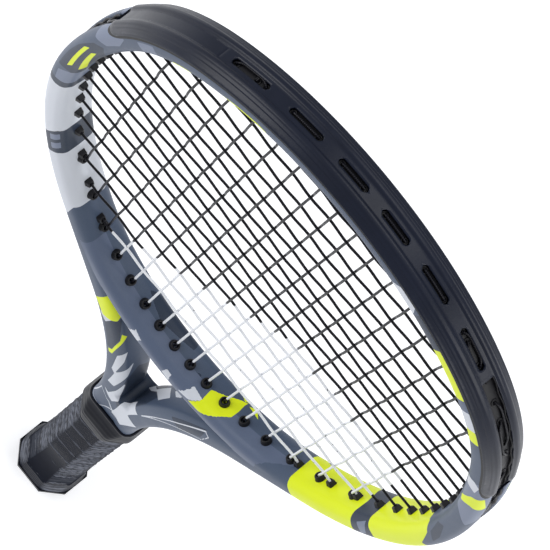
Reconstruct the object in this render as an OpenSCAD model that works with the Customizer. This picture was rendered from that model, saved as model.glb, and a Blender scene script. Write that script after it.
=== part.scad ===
// Tennis racket: a hollow composite frame with grommet strips, bumper guard, woven
// strings and an octagonal wrapped handle. The butt end is at the origin, +Z runs
// along the racket to the tip, X runs across the head and -Y is the front face.

/* [Head] */
// Overall length of the racket, butt end to tip, 27 inches
overall_length = 686; // [682:1:688]
// Radius of the frame's centre line around the tip
tip_r = 132; // [131:1:133]
// Angle from the tip to the end of the tip arc, in degrees
tip_sweep = 40; // [39:1:41]
// Radius of the centre line around each shoulder of the head
shoulder_r = 103; // [102:1:104]
// Sweep of each shoulder arc, in degrees
shoulder_sweep = 31; // [30:1:32]
// Radius of the centre line along the upper side of the head
side_r = 283; // [281:1:285]
// Radius of the centre line along the lower side of the head
lower_r = 216; // [215:1:217]
// Sweep of the lower side arc, down to the straight arm, in degrees
lower_sweep = 37; // [36.5:0.5:37.5]
// Height of the string face's lower end, at the middle of the throat bridge
face_bottom_z = 337.4; // [336:0.2:339]

/* [Tube] */
// Width of the hoop's tube in the plane of the strings
tube_w = 13; // [12.8:0.1:13.2]
// Depth of the frame from front to back, its beam
beam_d = 23; // [22.6:0.2:23.4]
// Corner radius of the tube's section
tube_corner = 5.6; // [5:0.2:5.6]
// Wall thickness of the composite
wall = 1.5; // [1.3:0.1:1.6]
// Depth of the string channel around the outside of the hoop
channel_depth = 2.9; // [2.8:0.1:3]
// Width of the string channel
channel_w = 8.4; // [8.2:0.1:8.6]
// How much wider each throat arm is towards the throat opening
arm_extra = 2; // [1.5:0.5:2.5]

/* [Throat] */
// Radius of the bend from each arm into the shaft
elbow_r = 218; // [216:1:220]
// Distance from the racket's middle to each arm's centre line at the shaft
shaft_x = 9.4; // [9.2:0.1:9.6]
// Height of the bottom of the throat opening
crotch_z = 236; // [234:1:238]
// Radius of the fillet at the bottom of the throat opening
crotch_r = 4; // [3:0.5:4.5]

/* [Strings] */
// Diameter of the string
string_d = 1.3; // [1.2:0.05:1.35]
// Distance of the first main string from the middle
main_start = 5.9; // [5.8:0.1:6]
// Distance from the first main string to the second
main_gap = 11.9; // [11.8:0.1:12]
// How much each further gap between main strings grows
main_growth = 0.5; // [0.45:0.05:0.5]
// Distance that a main string rises and falls as it weaves
main_weave = 1.1; // [1.08:0.01:1.15]
// Distance that a cross string, which is pulled straighter, rises and falls
cross_weave = 0.3; // [0.28:0.01:0.35]
// Sideways bow of a string as it passes another string's grommet in the channel
bow = 1.75; // [1.7:0.05:1.8]

/* [Grommets] */
// Outer radius of a grommet barrel
barrel_r = 1.9; // [1.8:0.1:1.9]
// Radius of the hole through a grommet barrel
bore_r = 0.9; // [0.85:0.05:0.95]
// How far a barrel stands out inside the hoop
barrel_proud = 1.8; // [1.5:0.1:1.8]
// Thickness of the grommet strip's base
strip_t = 1; // [0.9:0.1:1]
// Thickness of the bumper guard
bumper_t = 1.2; // [1:0.1:1.4]
// Angle from the tip to each end of the bumper guard, in degrees
bumper_sweep = 75; // [73:1:77]

/* [Handle] */
// Width of the wrapped handle across the head's direction
handle_w = 34; // [33.6:0.2:35]
// Depth of the wrapped handle from front to back
handle_d = 31; // [30.8:0.2:32]
// Length of each bevel's corner cut on the wrapped handle
handle_bevel = 9; // [8.5:0.5:9.5]
// Thickness of the grip
grip_t = 1.9; // [1.8:0.1:2]
// Height of the grip's upper end
grip_top = 187; // [186:1:188]
// Width of the flared butt
butt_w = 41; // [40:0.5:42]
// Depth of the flared butt
butt_d = 38; // [37:0.5:39]
// How far the trap door pulls out of the butt
door_travel = 12; // [11:1:14]

/* [Hidden] */

// Clearance between parts that touch without being fastened
gap = 0.05;
half_tube = tube_w / 2;
half_beam = beam_d / 2;

// Heights of the cross strings, from the throat to the tip
cross_z = [376.5, 398, 418, 436.5, 453.5, 469, 483.5, 498, 512, 526,
    539, 552, 566, 580.5, 595.5, 610.5, 628, 643, 653.6];
mains_per_side = 8;
main_x = [for (k = [0:mains_per_side - 1])
    main_start + main_gap * k + main_growth * k * (k - 1) / 2];

// The outline of one side of the head: a chain of arcs, each tangent to the next.
// Angles run clockwise from the tip, seen from the front. An arc is its centre's X and
// Z, the centre line's radius, and the angles where it starts and ends.
function beside(c, r_from, r_to, a) = c + (r_from - r_to) * [sin(a), cos(a)];
function along(c, r, a) = c + r * [sin(a), cos(a)];
tip_z = overall_length - bumper_t - half_tube;
shoulder_a = tip_sweep + shoulder_sweep;
arm_a = 90 + lower_sweep;
tip_c = [0, tip_z - tip_r];
shoulder_c = beside(tip_c, tip_r, shoulder_r, tip_sweep);
side_c = beside(shoulder_c, shoulder_r, side_r, shoulder_a);
lower_c = beside(side_c, side_r, lower_r, 90);

// The bridge closes the head with an arc that is tangent inside to the lower side arc.
lower_inner_r = lower_r - half_tube;
face_drop = lower_c[1] - face_bottom_z;
bridge_inner_r = (pow(lower_inner_r, 2) - pow(lower_c[0], 2) - pow(face_drop, 2))
    / (2 * (lower_inner_r - face_drop));
bridge_r = bridge_inner_r + half_tube;
bridge_c = [0, face_bottom_z + bridge_inner_r];
bridge_a = 90 + atan2(lower_c[1] - bridge_c[1], -lower_c[0]);

// The straight arm and the elbow that turns it into the shaft
arm_start = along(lower_c, lower_r, arm_a);
arm_dir = [cos(arm_a), -sin(arm_a)];
arm_out = [sin(arm_a), cos(arm_a)];
elbow_top_x = shaft_x + elbow_r * (1 - sin(arm_a));
arm_len = (elbow_top_x - arm_start[0]) / arm_dir[0];
elbow_top = arm_start + arm_len * arm_dir;
elbow_c = elbow_top + elbow_r * arm_out;
shaft_top_z = elbow_c[1];

TIP_ARC = [tip_c, tip_r, 0, tip_sweep];
SIDE_ARCS = [[shoulder_c, shoulder_r, tip_sweep, shoulder_a],
    [side_c, side_r, shoulder_a, 90], [lower_c, lower_r, 90, arm_a]];
ARCS = concat([TIP_ARC], [SIDE_ARCS[0], SIDE_ARCS[1]],
    [[lower_c, lower_r, 90, bridge_a], [bridge_c, bridge_r, bridge_a, 180]]);

// A string turns into its hole just past the barrel.
turn_proud = barrel_proud + 0.45;
// The lowest holes in the hoop leave through the arms, beyond this distance from the middle.
arm_holes_x = 40;
// A hole for a string: its mouth's X and Z on the inside of the hoop, its angle, and
// whether it leaves through an arm's outer face
function hole(arc, a) = let (p = along(arc[0], arc[1] - half_tube, a))
    [p[0], p[1], a, a > arm_a && p[0] > arm_holes_x];
function turn_r(arc) = arc[1] - half_tube - turn_proud;
function main_hole(x, upper) = [for (arc = ARCS)
    let (s = (x - arc[0][0]) / turn_r(arc))
    if (abs(s) <= 1)
    let (a = upper ? asin(s) : 180 - asin(s))
    if (a >= arc[2] && a < arc[3]) hole(arc, a)][0];
function cross_hole(z) = [for (arc = ARCS)
    let (s = (z - arc[0][1]) / turn_r(arc))
    if (abs(s) <= 1)
    let (a = acos(s))
    if (a >= arc[2] && a < arc[3]) hole(arc, a)][0];
function hole_dir(h) = [sin(h[2]), cos(h[2])];
// Distance along a hole from its mouth to a surface that is `lift` outside the centre line
function hole_run(h, lift) = h[3]
    ? (lift - ([h[0], h[1]] - arm_start) * arm_out) / (hole_dir(h) * arm_out)
    : half_tube + lift;
function on_hole(h, run) = [h[0], h[1]] + run * hole_dir(h);

top_holes = [for (x = main_x) main_hole(x, true)];
bottom_holes = [for (x = main_x) main_hole(x, false)];
cross_holes = [for (z = cross_z) cross_hole(z)];
// The middle pairs of main strings end in the bridge, the others in the hoop.
function in_bridge(h) = h[2] > arm_a && !h[3];
bridge_holes = [for (h = bottom_holes) if (in_bridge(h)) h];
hoop_holes = [for (h = concat(top_holes, cross_holes, bottom_holes)) if (!in_bridge(h)) h];

// 2D sections. X is the distance outwards from the centre line and Y the beam's depth.
// A joint between two swept pieces is a short ring that stands proud by $grow.
joint_proud = 0.02;
joint_a = 0.1;
joint_l = 0.4;
$grow = 0;
// How far a cut starts before, and ends after, what it cuts
clear = 10;
// A rounded rectangle, with corners of straight facets
corner_steps = 3;
function rounded_points(x0, x1, h, r) = [for (q = [0:3]) for (k = [0:corner_steps])
    let (a = 90 * (q + k / corner_steps),
        cx = (q == 0 || q == 3) ? x1 - r : x0 + r,
        cy = (q < 2) ? h - r : r - h)
    [cx + r * cos(a), cy + r * sin(a)]];
module section(x0, x1, h, r) {
    polygon(rounded_points(x0 - $grow, x1 + $grow, h + $grow, r + $grow));
}
module slab(x0, x1, w) {
    translate([x0 - $grow, -w / 2 - $grow]) square([x1 - x0 + 2 * $grow, w + 2 * $grow]);
}
module channel_section() { slab(half_tube - channel_depth, half_tube + 1, channel_w); }
module hoop_section() { section(-half_tube, half_tube, half_beam, tube_corner); }
// The cavity's corners fit its narrow width, between the inner wall and the channel.
cavity_corner = 3.4;
module hoop_cavity() {
    section(wall - half_tube, half_tube - channel_depth - wall,
        half_beam - wall, cavity_corner);
}
module arm_section() { section(-half_tube - arm_extra, half_tube, half_beam, tube_corner); }
module arm_cavity() {
    section(wall - half_tube - arm_extra, half_tube - channel_depth - wall,
        half_beam - wall, cavity_corner);
}

// Sweeps: an arc about a centre, the two halves of the racket, the straight arm
module swept(c, r, a0, a1) {
    translate([c[0], 0, c[1]]) rotate([90, 0, 0]) rotate([0, 0, 90 - a1])
        rotate_extrude(angle = a1 - a0, $fn = 180) translate([r, 0]) children();
}
module both_sides() {
    children();
    mirror([1, 0, 0]) children();
}
// Along the side arcs from angle a0 to a1, with a joint at each start inside that range
module on_side(a0, a1) {
    for (arc = SIDE_ARCS) {
        if (a0 < arc[3] && a1 > arc[2])
            swept(arc[0], arc[1], max(a0, arc[2]), min(a1, arc[3])) children();
        if (a0 <= arc[2] && a1 > arc[2]) let ($grow = joint_proud)
            swept(arc[0], arc[1], arc[2] - joint_a, arc[2] + joint_a) children();
    }
}
// Across the tip and down both sides to angle a1
module on_head(a1) {
    swept(tip_c, tip_r, -tip_sweep, tip_sweep) children();
    both_sides() on_side(tip_sweep, a1) children();
}
// Down the straight arm: the section's X points out of the arm and its Y along the beam.
module on_arm() {
    arm_prism(0, arm_len) children();
    let ($grow = joint_proud) arm_prism(-joint_l / 2, joint_l / 2) children();
}
module arm_prism(from, to) {
    start = arm_start + from * arm_dir;
    translate([start[0], 0, start[1]]) rotate([0, arm_a + 90, 0])
        linear_extrude(to - from) mirror([1, 0]) children();
}
module on_elbow(sweep) {
    swept(elbow_c, elbow_r, 180 + arm_a - sweep, 180 + arm_a) mirror([1, 0]) children();
    let ($grow = joint_proud) swept(elbow_c, elbow_r, 180 + arm_a - joint_a,
        180 + arm_a + joint_a) mirror([1, 0]) children();
}
module drill(h, r, from, to) {
    translate([h[0], 0, h[1]]) rotate([0, h[2], 0]) translate([0, 0, from])
        cylinder(h = to - from, r = r, $fn = 24);
}

// Frame. Its two tubes run on through the handle as a narrower core, with a web between.
pallet_top = 188;
tube_bottom = 12;
core_w = 24;
core_d = 19;
core_corner = 5;
web = 1.2;
hole_clearance = 0.1;
channel_end_sweep = 7;

module shaft_bar(from, to) {
    translate([0, 0, from]) linear_extrude(to - from)
        section(-shaft_x - half_tube, shaft_x + half_tube, half_beam, tube_corner);
}
module frame_hairpin() color([0.45, 0.52, 0.58]) {
    difference() {
        union() {
            on_head(arm_a) hoop_section();
            both_sides() {
                on_arm() hoop_section();
                on_elbow(lower_sweep) arm_section();
            }
            shaft_bar(pallet_top, shaft_top_z);
            let ($grow = joint_proud)
                shaft_bar(shaft_top_z - joint_l / 2, shaft_top_z + joint_l / 2);
            translate([0, 0, shaft_top_z]) rotate([90, 0, 0])
                linear_extrude(crotch_web_d, center = true) crotch_web();
            translate([0, 0, tube_bottom]) linear_extrude(pallet_top - tube_bottom + 1)
                section(-core_w / 2, core_w / 2, core_d / 2, core_corner);
        }
        on_head(arm_a) hoop_cavity();
        on_head(arm_a) channel_section();
        both_sides() {
            on_arm() hoop_cavity();
            on_elbow(lower_sweep) arm_cavity();
            translate([0, 0, tube_bottom - 1]) linear_extrude(shaft_top_z - tube_bottom + 2)
                section(web, core_w / 2 - wall, core_d / 2 - wall, core_corner - wall);
            on_arm() channel_section();
            on_elbow(channel_end_sweep) channel_section();
            for (h = hoop_holes) drill(h, barrel_r + hole_clearance, -clear,
                hole_run(h, half_tube) + clear / 2);
        }
    }
}
// The web that closes the throat between the arms, below the crotch
crotch_web_d = 20;
module crotch_web() {
    web_w = 24;
    web_h = crotch_z - shaft_top_z;
    difference() {
        translate([-web_w / 2, -1]) square([web_w, web_h + 1]);
        translate([0, web_h + crotch_r * 0.6]) circle(r = crotch_r * 2, $fn = 48);
        for (s = [-1, 1]) translate([s * elbow_c[0], 0]) circle(r = elbow_r, $fn = 180);
    }
}

// The bridge is a little shallower than the tubes that it joins.
bridge_inset = 0.4;
bridge_start_a = arm_a + 4;
bridge_channel_a = 21;
bridge_hollow_a = 20;
module bridge_section() {
    section(-half_tube, half_tube, half_beam - bridge_inset, tube_corner - bridge_inset);
}
module bridge_cavity() {
    section(wall - half_tube, half_tube - channel_depth - wall,
        half_beam - bridge_inset - wall, cavity_corner);
}
// A block whose flat side is an arm's inner face, `inner` inside its centre line
module arm_block(inner, from, to) {
    outside = 40;
    translate([arm_start[0], 0, arm_start[1]]) rotate([0, arm_a + 90, 0])
        translate([-outside, -outside / 2, from]) cube([outside + inner, outside, to - from]);
}
module throat_bridge() color([0.62, 0.68, 0.74]) {
    difference() {
        union() {
            swept(bridge_c, bridge_r, bridge_a, 360 - bridge_a) bridge_section();
            both_sides() {
                swept(lower_c, lower_r, bridge_start_a, bridge_a) bridge_section();
                let ($grow = joint_proud) swept(lower_c, lower_r, bridge_a - joint_a,
                    bridge_a + joint_a) bridge_section();
            }
        }
        both_sides() {
            arm_block(half_tube, -clear, arm_len + 1);
            arm_block(half_tube + arm_extra + gap, arm_len - joint_l - gap,
                arm_len + 3 * clear);
            for (h = concat(bottom_holes, [cross_holes[0]]))
                drill(h, barrel_r + hole_clearance, -clear, 4 * clear);
        }
        swept(bridge_c, bridge_r, 180 - bridge_channel_a, 180 + bridge_channel_a)
            channel_section();
        swept(bridge_c, bridge_r, 180 - bridge_hollow_a, 180 + bridge_hollow_a)
            bridge_cavity();
    }
}

// The bumper guard has a slot over each pair of string holes near the tip, and beyond
// them it is open over the channel. Angles are in degrees.
module bumper_guard() color([0.08, 0.08, 0.09]) {
    slot_margin = 1.5;
    slot_w = 3.4;
    open_before = 3;
    open_from = asin((main_x[4] + main_x[5]) / 2 / tip_r) - open_before;
    difference() {
        on_head(bumper_sweep) bumper_section();
        both_sides() {
            swept(tip_c, tip_r, open_from, tip_sweep) bumper_slot(channel_w);
            on_side(tip_sweep, bumper_sweep + 1) bumper_slot(channel_w);
            for (k = [0, 2])
                swept(tip_c, tip_r, top_holes[k][2] - slot_margin,
                    top_holes[k + 1][2] + slot_margin) bumper_slot(slot_w);
        }
    }
}
// The bumper's wings reach in to this distance outside the centre line.
wing_x = 3.8;
module bumper_section() {
    difference() {
        section(-half_tube, half_tube + bumper_t, half_beam + bumper_t,
            tube_corner + bumper_t);
        let ($grow = gap - $grow) hoop_section();
        translate([-beam_d, -beam_d]) square([beam_d + wing_x - $grow, 2 * beam_d]);
    }
}
module bumper_slot(w) { slab(half_tube - 1, half_tube + 3, w); }

// Grommet strips: a base in the channel, and a barrel through the frame at each string
strip_w = 7.4;
strip_x = half_tube - channel_depth + gap;
strip_top = strip_x + strip_t;
module strip_base_section() { slab(strip_x, strip_top, strip_w); }
module barrels(holes) {
    for (h = holes) drill(h, barrel_r, -barrel_proud, hole_run(h, strip_x) + strip_t / 2);
}
module bores(holes) {
    for (h = holes) drill(h, bore_r, -clear, hole_run(h, strip_top) + clear / 2);
}
// The head's strip runs on a little past the bumper's end, to between two string holes.
strip_joint_a = bumper_sweep + 1.6;
module head_grommet_strip() color([0.1, 0.1, 0.11]) {
    holes = [for (h = hoop_holes) if (h[2] < strip_joint_a) h];
    difference() {
        union() {
            on_head(strip_joint_a) strip_base_section();
            both_sides() barrels(holes);
        }
        both_sides() bores(holes);
    }
}
module side_grommet_strip() {
    holes = [for (h = hoop_holes) if (h[2] > strip_joint_a) h];
    strip_end_sweep = 6;
    difference() {
        union() {
            on_side(strip_joint_a + joint_a, arm_a) strip_base_section();
            on_arm() strip_base_section();
            on_elbow(strip_end_sweep) strip_base_section();
            barrels(holes);
        }
        bores(holes);
    }
}
module right_grommet_strip() color([0.1, 0.1, 0.11]) side_grommet_strip();
module left_grommet_strip() color([0.1, 0.1, 0.11]) mirror([1, 0, 0]) side_grommet_strip();
module throat_grommet_strip() color([0.1, 0.1, 0.11]) {
    strip_a = bridge_channel_a - 1;
    difference() {
        union() {
            swept(bridge_c, bridge_r, 180 - strip_a, 180 + strip_a) strip_base_section();
            both_sides() barrels(bridge_holes);
        }
        both_sides() bores(bridge_holes);
    }
}

// Strings. A path is a list of 3D points, and a string is a six-sided tube along it.
string_r = string_d / 2;
// Outside the frame it runs this far outside the centre line, just clear of the strips.
string_lift = strip_top + string_r + 0.35;
// The tube's corner radius gives a six-sided section nearly the round string's area.
tube_corner_r = string_r * 1.08;
string_sides = 6;
crossing_margin = barrel_proud + 1.2;

function signed(p, s) = [s * p[0], p[1]];
function lace_x(k) = k < mains_per_side ? -1 : 1;
function lace_i(k) = k < mains_per_side ? mains_per_side - 1 - k : k - mains_per_side;
function crosses_here(i, z) = z > on_hole(bottom_holes[i], -crossing_margin)[1]
    && z < on_hole(top_holes[i], -crossing_margin)[1];
// The same sign at the same crossing makes one string pass over where the other dips.
function over(k, j) = (k + j) % 2 == 0 ? 1 : -1;
function at(p, y) = [p[0], y, p[1]];

// One main string from its outer end at the throat to its outer end at the tip
function main_run(k) = let (i = lace_i(k), s = lace_x(k),
        b = bottom_holes[i], t = top_holes[i])
    concat([at(signed(on_hole(b, hole_run(b, string_lift)), s), 0),
            at(signed(on_hole(b, -turn_proud), s), 0)],
        [for (j = [0:len(cross_z) - 1]) if (crosses_here(i, cross_z[j]))
            [s * main_x[i], main_weave * over(k, j), cross_z[j]]],
        [at(signed(on_hole(t, -turn_proud), s), 0),
            at(signed(on_hole(t, hole_run(t, string_lift)), s), 0)]);
// One cross string from left to right
function cross_run(j) = let (h = cross_holes[j])
    concat([at(signed(on_hole(h, hole_run(h, string_lift)), -1), 0),
            at(signed(on_hole(h, -turn_proud), -1), 0)],
        [for (k = [0:2 * mains_per_side - 1]) if (crosses_here(lace_i(k), cross_z[j]))
            [lace_x(k) * main_x[lace_i(k)], -cross_weave * over(k, j), cross_z[j]]],
        [at(on_hole(h, -turn_proud), 0), at(on_hole(h, hole_run(h, string_lift)), 0)]);

// The run outside the frame from one hole to the next, bowed sideways by y and lifted
// at its middle so that it follows the hoop's curve
function outside_run(a, b, y, middle) = let (d = b - a, mid = (a + b) / 2,
        away = mid - [middle[0], 0, middle[1]],
        rise = norm(d) * norm(d) / (8 * norm(away)))
    [for (t = [1 / 8, 1 / 2, 7 / 8])
        a + t * d + [0, y, 0] + away / norm(away) * rise * 4 * t * (1 - t)];
function reversed(v) = [for (k = [len(v) - 1:-1:0]) v[k]];
function last(v) = v[len(v) - 1];
function joined(parts) = [for (part = parts) for (p = part) p];

function main_lace(k) = k % 2 == 0 ? main_run(k) : reversed(main_run(k));
function main_loop(k) = k == 2 * mains_per_side - 1 ? [] :
    let (a = last(main_lace(k)), b = main_lace(k + 1)[0],
        bowed = max(abs(a[0]), abs(b[0])) > main_x[4] - 1)
    outside_run(a, b, bowed ? bow : 0, a[2] > tip_c[1] ? tip_c : bridge_c);
main_path = joined([for (k = [0:2 * mains_per_side - 1]) concat(main_lace(k), main_loop(k))]);

rows = len(cross_z);
function cross_lace(n) = let (j = rows - 1 - n) n % 2 == 0 ? cross_run(j) : reversed(cross_run(j));
function cross_loop(n) = n == rows - 1 ? [] :
    let (a = last(cross_lace(n)), b = cross_lace(n + 1)[0])
    outside_run(a, b, -bow, [a[0] > 0 ? shoulder_c[0] : -shoulder_c[0], bridge_c[1] + 60]);
cross_path = joined([for (n = [0:rows - 1]) concat(cross_lace(n), cross_loop(n))]);

// A tube swept along a path, closed at both ends
function unit(v) = v / norm(v);
function heading(p, n) = unit(n == 0 ? p[1] - p[0] : n == len(p) - 1 ? p[n] - p[n - 1]
    : unit(p[n + 1] - p[n]) + unit(p[n] - p[n - 1]));
function ring(p, n) = let (t = heading(p, n), u = unit(cross(t, [0, 1, 0])), v = cross(u, t))
    [for (k = [0:string_sides - 1]) let (a = 360 * k / string_sides)
        p[n] + tube_corner_r * (cos(a) * u + sin(a) * v)];
module tube_along(path) {
    m = string_sides;
    n = len(path);
    polyhedron(
        points = joined([for (k = [0:n - 1]) ring(path, k)]),
        faces = concat([[for (k = [0:m - 1]) k]],
            [for (r = [0:n - 2]) for (k = [0:m - 1])
                [r * m + k, (r + 1) * m + k, (r + 1) * m + (k + 1) % m, r * m + (k + 1) % m]],
            [[for (k = [m - 1:-1:0]) (n - 1) * m + k]]),
        convexity = 10);
}
module main_strings() color([0.05, 0.05, 0.05]) tube_along(main_path);
module cross_strings() color([0.05, 0.05, 0.05]) tube_along(cross_path);

// Tie-off knots, where each string's two ends are made fast outside the frame
knot_r = 0.8;
knot_l = 1.7;
module knot(p) {
    translate(p) rotate([90, 0, 0]) cylinder(h = knot_l, r = knot_r, center = true, $fn = 24);
}
module main_tie_off_knots() color([0.04, 0.04, 0.04]) {
    knot(main_path[0]);
    knot(last(main_path));
}
module cross_tie_off_knots() color([0.04, 0.04, 0.04]) {
    knot(cross_path[0]);
    knot(last(cross_path));
}

// Handle
pallet_w = handle_w - 2 * grip_t - 0.2;
pallet_d = handle_d - 2 * grip_t - 0.2;
pallet_bevel = handle_bevel - 1.1;
cap_wall = 1.3;
cap_top = 30;
flare_top = 24;
rim_h = 3;
plate_t = 2.6;
module octagon(w, d, b) {
    polygon([[w / 2, d / 2 - b], [w / 2 - b, d / 2], [b - w / 2, d / 2], [-w / 2, d / 2 - b],
        [-w / 2, b - d / 2], [b - w / 2, -d / 2], [w / 2 - b, -d / 2], [w / 2, b - d / 2]]);
}
module octagon_bar(w, d, b, z0, z1) {
    translate([0, 0, z0]) linear_extrude(z1 - z0) octagon(w, d, b);
}
// A straight-sided flare from one octagon at z0 to another at z1
module flare(w0, d0, z0, w1, d1, z1) {
    hull() {
        octagon_bar(w0, d0, handle_bevel * w0 / handle_w, z0, z0 + 0.1);
        octagon_bar(w1, d1, handle_bevel * w1 / handle_w, z1 - 0.1, z1);
    }
}

module shaft_foam() color([0.85, 0.8, 0.6]) {
    foam_top = 180;
    both_sides() translate([0, 0, tube_bottom]) linear_extrude(foam_top - tube_bottom)
        section(web + gap, core_w / 2 - wall - gap, core_d / 2 - wall - gap,
            core_corner - wall - gap);
}

module pallet() {
    difference() {
        union() {
            octagon_bar(pallet_w, pallet_d, pallet_bevel, cap_top, pallet_top);
            octagon_bar(pallet_w - 2 * cap_wall - 2 * gap, pallet_d - 2 * cap_wall - 2 * gap,
                pallet_bevel - 0.8, tube_bottom - 2, cap_top);
        }
        translate([0, 0, -1]) linear_extrude(pallet_top + 2)
            section(-core_w / 2 - gap, core_w / 2 + gap, core_d / 2 + gap, core_corner);
    }
}
module front_pallet() color([0.2, 0.2, 0.22]) {
    intersection() {
        pallet();
        translate([-50, -50 - gap, 0]) cube([100, 50, 300]);
    }
}
module back_pallet() color([0.2, 0.2, 0.22]) mirror([0, 1, 0]) front_pallet();

door_w = 20;
door_d = 16;
door_ledge = 1.5;
door_t = 2;
module butt_cap() color([0.06, 0.06, 0.07]) {
    difference() {
        union() {
            octagon_bar(butt_w, butt_d, handle_bevel * butt_w / handle_w, 0, rim_h);
            flare(butt_w - 2 * grip_t - 0.2, butt_d - 2 * grip_t - 0.2, rim_h - 0.5,
                pallet_w, pallet_d, flare_top);
            octagon_bar(pallet_w, pallet_d, pallet_bevel, flare_top - 1, cap_top - gap);
        }
        octagon_bar(pallet_w - 2 * cap_wall, pallet_d - 2 * cap_wall, pallet_bevel - 0.8,
            tube_bottom - 2 - gap, cap_top + 1);
        translate([0, 0, plate_t]) linear_extrude(tube_bottom)
            square([door_w + 4, door_d + 3], center = true);
        translate([0, 0, -1]) linear_extrude(1 + door_t + gap)
            square([door_w + 0.4, door_d + 0.4], center = true);
        translate([0, 0, -1]) linear_extrude(plate_t + 2)
            square([door_w - 2 * door_ledge, door_d - 2 * door_ledge], center = true);
    }
}
module butt_cap_door() color([0.07, 0.07, 0.08]) {
    leg_w = 6;
    leg_t = 1.2;
    leg_h = 6.5;
    leg_x = door_w / 2 - door_ledge - leg_t - 0.15;
    linear_extrude(door_t) square([door_w, door_d], center = true);
    for (s = [-1, 1]) translate([s * (leg_x + leg_t / 2) - leg_t / 2, -leg_w / 2, door_t - 0.5])
        cube([leg_t, leg_w, leg_h]);
}
// Two staples, one from the front and one from the back, hold the cap on the pallets.
module butt_staples() color([0.75, 0.75, 0.78]) {
    crown = 10;
    wire = 0.6;
    leg = 3.5;
    staple_z = 27;
    for (s = [0, 1]) mirror([0, s, 0])
        translate([0, -pallet_d / 2, staple_z]) {
            translate([-crown / 2, 0, 0]) cube([crown, wire, 1.2]);
            for (x = [-crown / 2, crown / 2 - wire]) translate([x, 0, 0]) cube([wire, leg, 1.2]);
        }
}

module grip_body(w0, d0, wt, dt, b, z0, z1) {
    union() {
        flare(w0, d0, z0, wt, dt, flare_top + 0.2);
        octagon_bar(wt, dt, b, flare_top, z1);
    }
}
module grip() color([0.07, 0.07, 0.07]) {
    difference() {
        grip_body(butt_w - 0.4, butt_d - 0.4, handle_w, handle_d, handle_bevel,
            rim_h + gap, grip_top);
        grip_body(butt_w - 2 * grip_t - 0.1, butt_d - 2 * grip_t - 0.1, pallet_w + 0.1,
            pallet_d + 0.1, pallet_bevel, rim_h - 0.5, pallet_top + 1);
    }
}
module grip_tack() color([0.7, 0.7, 0.72]) {
    head_r = 2.5;
    head_t = 0.5;
    shank_r = 0.6;
    shank_l = 2.6;
    translate([pallet_w / 2, 5, 38]) rotate([0, -90, 0]) {
        cylinder(h = head_t, r = head_r, $fn = 32);
        cylinder(h = shank_l, r = shank_r, $fn = 24);
    }
}
module finishing_tape() color([0.12, 0.12, 0.13]) {
    tape_t = 0.3;
    tape_h = 17;
    difference() {
        octagon_bar(handle_w + 2 * tape_t + 0.1, handle_d + 2 * tape_t + 0.1,
            handle_bevel, grip_top - tape_h, grip_top);
        octagon_bar(handle_w + 0.1, handle_d + 0.1, handle_bevel, grip_top - tape_h - 1,
            grip_top + 1);
    }
}
module grip_collar() color([0.1, 0.1, 0.1]) {
    collar_z = 182;
    collar_top = 199;
    collar_t = 1.3;
    seat_w = handle_w + 0.9;
    seat_d = handle_d + 0.9;
    difference() {
        union() {
            octagon_bar(seat_w + 2 * collar_t, seat_d + 2 * collar_t, handle_bevel + 1,
                collar_z, pallet_top + 0.5);
            flare(seat_w + 2 * collar_t, seat_d + 2 * collar_t, pallet_top,
                handle_w + 1, beam_d + 4, collar_top);
        }
        octagon_bar(seat_w, seat_d, handle_bevel + 0.1, collar_z - 1, pallet_top + gap);
        translate([0, 0, collar_z]) linear_extrude(30)
            section(-shaft_x - half_tube - gap, shaft_x + half_tube + gap, half_beam + gap,
                tube_corner);
    }
}

frame_hairpin();
throat_bridge();
bumper_guard();
head_grommet_strip();
left_grommet_strip();
right_grommet_strip();
throat_grommet_strip();
main_strings();
cross_strings();
main_tie_off_knots();
cross_tie_off_knots();
shaft_foam();
front_pallet();
back_pallet();
butt_cap();
butt_cap_door();
butt_staples();
grip();
grip_tack();
finishing_tape();
grip_collar();
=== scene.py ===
"""Looks for the tennis racket: painted hoop, moulded bumper and grommets, woven strings, wrapped grip.

Lengths in this script are millimetres, in the row frame: the butt's face is at the origin, +Z
runs to the tip and -Y is the front. Meshes are scaled to metres as they are made.
"""

import math

import bmesh
import bpy
import numpy as np
from mathutils import Matrix, Vector
from mathutils.kdtree import KDTree


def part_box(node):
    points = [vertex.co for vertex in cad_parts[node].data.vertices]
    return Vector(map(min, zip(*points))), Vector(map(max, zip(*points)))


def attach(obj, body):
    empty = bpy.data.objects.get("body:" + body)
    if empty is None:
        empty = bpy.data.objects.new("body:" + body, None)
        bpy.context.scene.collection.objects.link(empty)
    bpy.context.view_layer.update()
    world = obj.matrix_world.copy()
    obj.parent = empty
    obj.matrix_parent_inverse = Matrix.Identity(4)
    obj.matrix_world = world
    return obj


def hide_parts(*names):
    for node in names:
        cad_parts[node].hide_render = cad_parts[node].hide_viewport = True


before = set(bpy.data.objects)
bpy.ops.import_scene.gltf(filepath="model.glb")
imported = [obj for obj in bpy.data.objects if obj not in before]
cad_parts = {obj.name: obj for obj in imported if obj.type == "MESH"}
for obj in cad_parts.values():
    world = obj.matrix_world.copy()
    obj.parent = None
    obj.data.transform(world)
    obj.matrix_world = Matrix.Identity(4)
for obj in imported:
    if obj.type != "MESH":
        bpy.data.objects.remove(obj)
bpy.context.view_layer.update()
MM = 0.001

# ---- camera

CAMERA_PLACE = Vector((-0.0021, -0.5004, 2.0390))
CAMERA_TILT = math.radians(18.317)
CAMERA_ROLL = math.radians(51.20)
LENS = 237.93


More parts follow.
